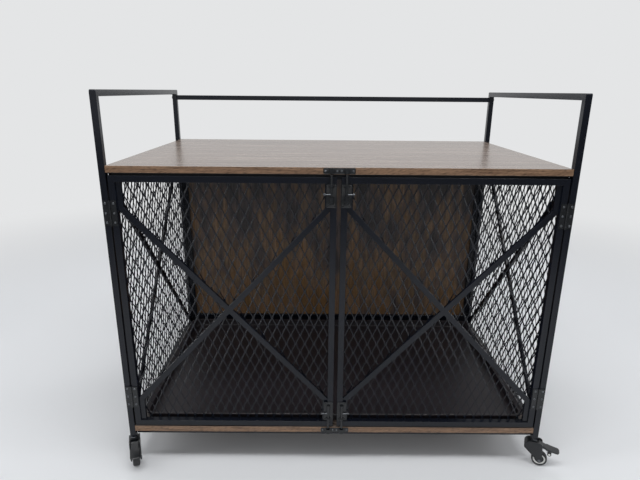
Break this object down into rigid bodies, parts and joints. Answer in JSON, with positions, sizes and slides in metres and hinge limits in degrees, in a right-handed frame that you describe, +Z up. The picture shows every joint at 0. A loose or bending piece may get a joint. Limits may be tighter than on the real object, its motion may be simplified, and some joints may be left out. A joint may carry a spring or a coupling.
{
  "type": "dog crate end table",
  "caption": "Dog crate on braked swivel casters that serves as an end table: wood boards between welded side frames with handle bars, mesh sides, and mesh double doors held by barrel bolts.",
  "frame": {"origin": "on the floor under the middle of the table", "axes": "+X to the right as seen from the doors, +Y to the back, +Z up"},
  "size_m": [1.2122, 0.764, 0.975],
  "materials": {
    "black_frame": "satin black powder coat",
    "black_hardware": "satin black",
    "bright_steel": "zinc plated",
    "board_wood": "grey-brown satin wood grain",
    "panel_wood": "dark rustic wood grain",
    "tray_plastic": "fine satin",
    "caster_plastic": "moulded satin",
    "wheel_rubber": "moulded, pale ring on the web"
  },
  "bodies": {
    "table": {"left_side_frame": "black_frame", "right_side_frame": "black_frame", "left_side_mesh": "black_frame", "right_side_mesh": "black_frame", "back_rail": "black_frame", "back_rail_bolt_left": "black_hardware", "back_rail_bolt_right": "black_hardware", "top_board": "board_wood", "bottom_board": "board_wood", "back_frame": "black_frame", "back_panel": "panel_wood", "tray": "tray_plastic", "front_top_rail": "black_frame", "front_bottom_rail": "black_frame", "rear_bottom_rail": "black_frame", "top_keeper": "black_hardware", "bottom_keeper": "black_hardware", "left_top_hinge_post_leaf": "black_hardware", "left_top_hinge_pin": "black_hardware", "left_bottom_hinge_post_leaf": "black_hardware", "left_bottom_hinge_pin": "black_hardware", "right_top_hinge_post_leaf": "black_hardware", "right_top_hinge_pin": "black_hardware", "right_bottom_hinge_post_leaf": "black_hardware", "right_bottom_hinge_pin": "black_hardware", "front_left_caster_stem": "bright_steel", "front_right_caster_stem": "bright_steel", "rear_left_caster_stem": "bright_steel", "rear_right_caster_stem": "bright_steel"},
    "left_door": {"left_door_frame": "black_frame", "left_door_mesh": "black_frame", "left_top_hinge_door_leaf": "black_hardware", "left_bottom_hinge_door_leaf": "black_hardware", "left_top_bolt_body": "black_hardware", "left_bottom_bolt_body": "black_hardware"},
    "right_door": {"right_door_frame": "black_frame", "right_door_mesh": "black_frame", "right_top_hinge_door_leaf": "black_hardware", "right_bottom_hinge_door_leaf": "black_hardware", "right_top_bolt_body": "black_hardware", "right_bottom_bolt_body": "black_hardware"},
    "left_top_bolt": {"left_top_bolt_rod": "bright_steel"},
    "left_bottom_bolt": {"left_bottom_bolt_rod": "bright_steel"},
    "right_top_bolt": {"right_top_bolt_rod": "bright_steel"},
    "right_bottom_bolt": {"right_bottom_bolt_rod": "bright_steel"},
    "front_left_hood": {"front_left_caster_hood": "caster_plastic"},
    "front_left_wheel": {"front_left_caster_wheel": "wheel_rubber"},
    "front_left_pedal": {"front_left_caster_pedal": "caster_plastic"},
    "front_right_hood": {"front_right_caster_hood": "caster_plastic"},
    "front_right_wheel": {"front_right_caster_wheel": "wheel_rubber"},
    "front_right_pedal": {"front_right_caster_pedal": "caster_plastic"},
    "rear_left_hood": {"rear_left_caster_hood": "caster_plastic"},
    "rear_left_wheel": {"rear_left_caster_wheel": "wheel_rubber"},
    "rear_left_pedal": {"rear_left_caster_pedal": "caster_plastic"},
    "rear_right_hood": {"rear_right_caster_hood": "caster_plastic"},
    "rear_right_wheel": {"rear_right_caster_wheel": "wheel_rubber"},
    "rear_right_pedal": {"rear_right_caster_pedal": "caster_plastic"}
  },
  "joints": [
    {"name": "left_door_hinge", "type": "hinge", "parent": "table", "child": "left_door", "pos_m": [-0.533, -0.328, 0.4515], "axis": [0, 0, -1], "range_deg": [0, 175]},
    {"name": "right_door_hinge", "type": "hinge", "parent": "table", "child": "right_door", "pos_m": [0.533, -0.328, 0.4515], "axis": [0, 0, 1], "range_deg": [0, 175]},
    {"name": "left_top_bolt_slide", "type": "slide", "parent": "left_door", "child": "left_top_bolt", "axis": [0, 0, 1], "range_m": [0, 0.012]},
    {"name": "left_bottom_bolt_slide", "type": "slide", "parent": "left_door", "child": "left_bottom_bolt", "axis": [0, 0, -1], "range_m": [0, 0.012]},
    {"name": "right_top_bolt_slide", "type": "slide", "parent": "right_door", "child": "right_top_bolt", "axis": [0, 0, 1], "range_m": [0, 0.012]},
    {"name": "right_bottom_bolt_slide", "type": "slide", "parent": "right_door", "child": "right_bottom_bolt", "axis": [0, 0, -1], "range_m": [0, 0.012]},
    {"name": "front_left_swivel", "type": "hinge", "parent": "table", "child": "front_left_hood", "pos_m": [-0.5425, -0.3175, 0.066], "axis": [0, 0, 1], "continuous": true},
    {"name": "front_left_wheel_spin", "type": "hinge", "parent": "front_left_hood", "child": "front_left_wheel", "pos_m": [-0.53566, -0.33629, 0.02], "axis": [0.9397, 0.342, 0], "continuous": true},
    {"name": "front_left_brake", "type": "hinge", "parent": "front_left_hood", "child": "front_left_pedal", "pos_m": [-0.53737, -0.33159, 0.0639], "axis": [0.9397, 0.342, 0], "range_deg": [0, 9]},
    {"name": "front_right_swivel", "type": "hinge", "parent": "table", "child": "front_right_hood", "pos_m": [0.5425, -0.3175, 0.066], "axis": [0, 0, 1], "continuous": true},
    {"name": "front_right_wheel_spin", "type": "hinge", "parent": "front_right_hood", "child": "front_right_wheel", "pos_m": [0.56091, -0.32532, 0.02], "axis": [0.3907, 0.9205, 0], "continuous": true},
    {"name": "front_right_brake", "type": "hinge", "parent": "front_right_hood", "child": "front_right_pedal", "pos_m": [0.55631, -0.32336, 0.0639], "axis": [0.3907, 0.9205, 0], "range_deg": [0, 9]},
    {"name": "rear_left_swivel", "type": "hinge", "parent": "table", "child": "rear_left_hood", "pos_m": [-0.5425, 0.3175, 0.066], "axis": [0, 0, 1], "continuous": true},
    {"name": "rear_left_wheel_spin", "type": "hinge", "parent": "rear_left_hood", "child": "rear_left_wheel", "pos_m": [-0.56091, 0.32532, 0.02], "axis": [-0.3907, -0.9205, 0], "continuous": true},
    {"name": "rear_left_brake", "type": "hinge", "parent": "rear_left_hood", "child": "rear_left_pedal", "pos_m": [-0.55631, 0.32336, 0.0639], "axis": [-0.3907, -0.9205, 0], "range_deg": [0, 9]},
    {"name": "rear_right_swivel", "type": "hinge", "parent": "table", "child": "rear_right_hood", "pos_m": [0.5425, 0.3175, 0.066], "axis": [0, 0, 1], "continuous": true},
    {"name": "rear_right_wheel_spin", "type": "hinge", "parent": "rear_right_hood", "child": "rear_right_wheel", "pos_m": [0.53566, 0.33629, 0.02], "axis": [-0.9397, -0.342, 0], "continuous": true},
    {"name": "rear_right_brake", "type": "hinge", "parent": "rear_right_hood", "child": "rear_right_pedal", "pos_m": [0.53737, 0.33159, 0.0639], "axis": [-0.9397, -0.342, 0], "range_deg": [0, 9]}
  ]
}
